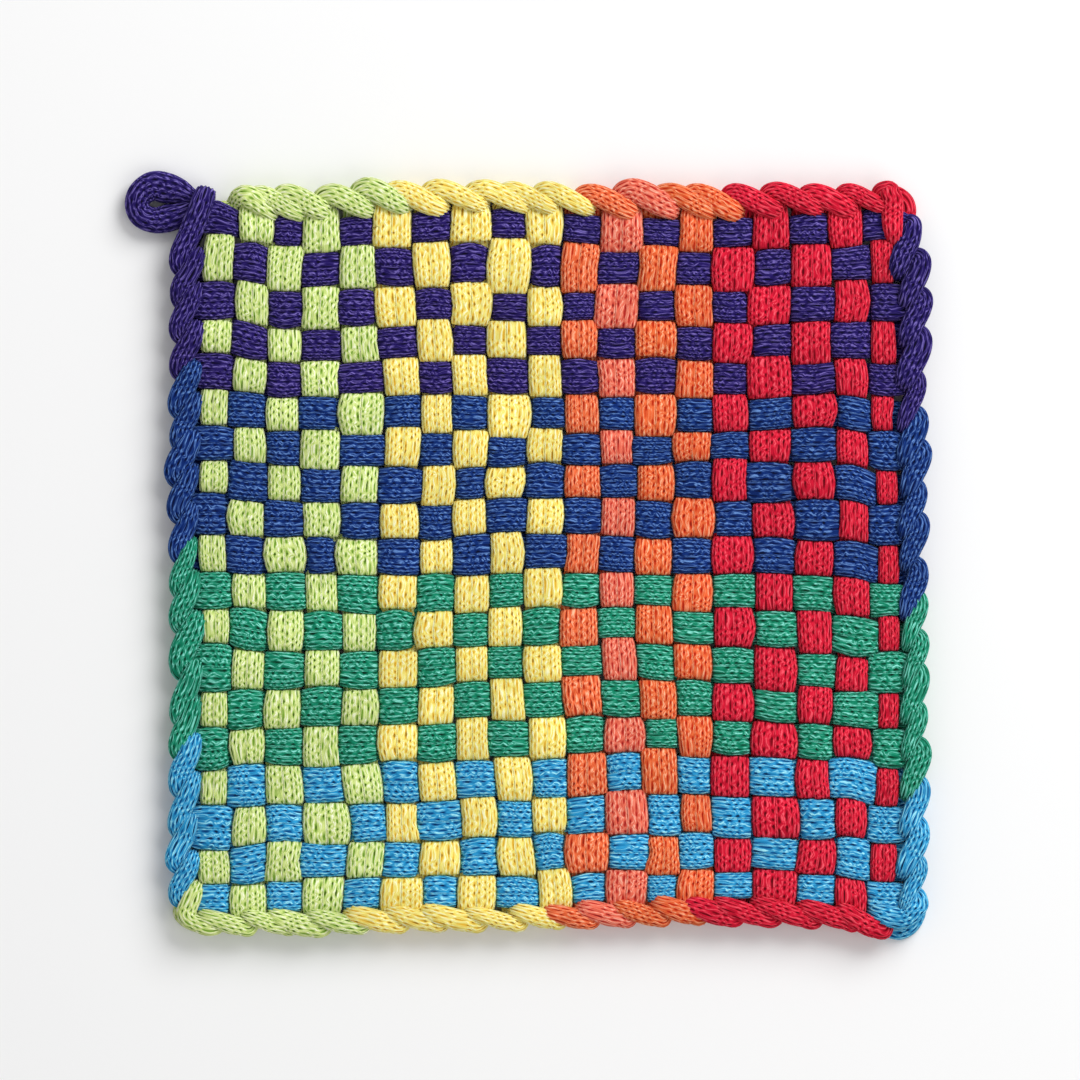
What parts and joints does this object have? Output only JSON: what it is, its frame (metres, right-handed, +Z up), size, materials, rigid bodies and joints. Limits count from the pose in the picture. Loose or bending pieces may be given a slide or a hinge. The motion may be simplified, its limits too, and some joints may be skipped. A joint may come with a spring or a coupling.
{
  "type": "woven loop potholder",
  "caption": "Square potholder woven over and under from stretchy cotton loops, with a chained edge all round and a small loop at one corner to hang it by.",
  "frame": {"origin": "on the surface the potholder lies on, under the middle of the weave", "axes": "+Z up out of the cloth, +Y along the warp loops towards the edge with the hanging loop, +X along the weft loops away from the hanging loop"},
  "size_m": [0.1691, 0.1607, 0.0064],
  "materials": {
    "lime": "matt knitted cotton",
    "yellow": "matt knitted cotton",
    "red_orange": "matt knitted cotton",
    "coral": "matt knitted cotton",
    "orange": "matt knitted cotton",
    "light_orange": "matt knitted cotton",
    "red": "matt knitted cotton",
    "purple": "matt knitted cotton",
    "royal_blue": "matt knitted cotton",
    "green": "matt knitted cotton",
    "sky_blue": "matt knitted cotton"
  },
  "bodies": {
    "cloth": {"warp_loop_01": "lime", "warp_loop_02": "lime", "warp_loop_03": "lime", "warp_loop_04": "lime", "warp_loop_05": "lime", "warp_loop_06": "yellow", "warp_loop_07": "yellow", "warp_loop_08": "yellow", "warp_loop_09": "yellow", "warp_loop_10": "yellow", "warp_loop_11": "red_orange", "warp_loop_12": "coral", "warp_loop_13": "orange", "warp_loop_14": "light_orange", "warp_loop_15": "red", "warp_loop_16": "red", "warp_loop_17": "red", "warp_loop_18": "red", "warp_loop_19": "red", "weft_loop_01": "purple", "weft_loop_02": "purple", "weft_loop_03": "purple", "weft_loop_04": "purple", "weft_loop_05": "purple", "weft_loop_06": "royal_blue", "weft_loop_07": "royal_blue", "weft_loop_08": "royal_blue", "weft_loop_09": "royal_blue", "weft_loop_10": "royal_blue", "weft_loop_11": "green", "weft_loop_12": "green", "weft_loop_13": "green", "weft_loop_14": "green", "weft_loop_15": "green", "weft_loop_16": "sky_blue", "weft_loop_17": "sky_blue", "weft_loop_18": "sky_blue", "weft_loop_19": "sky_blue"},
    "hanger": {"hanging_loop": "purple"}
  },
  "joints": [
    {"name": "hanger_fold", "type": "hinge", "parent": "cloth", "child": "hanger", "pos_m": [-0.07855, 0.0745, 0.00284], "axis": [0, 1, 0], "range_deg": [-75, 80]}
  ]
}
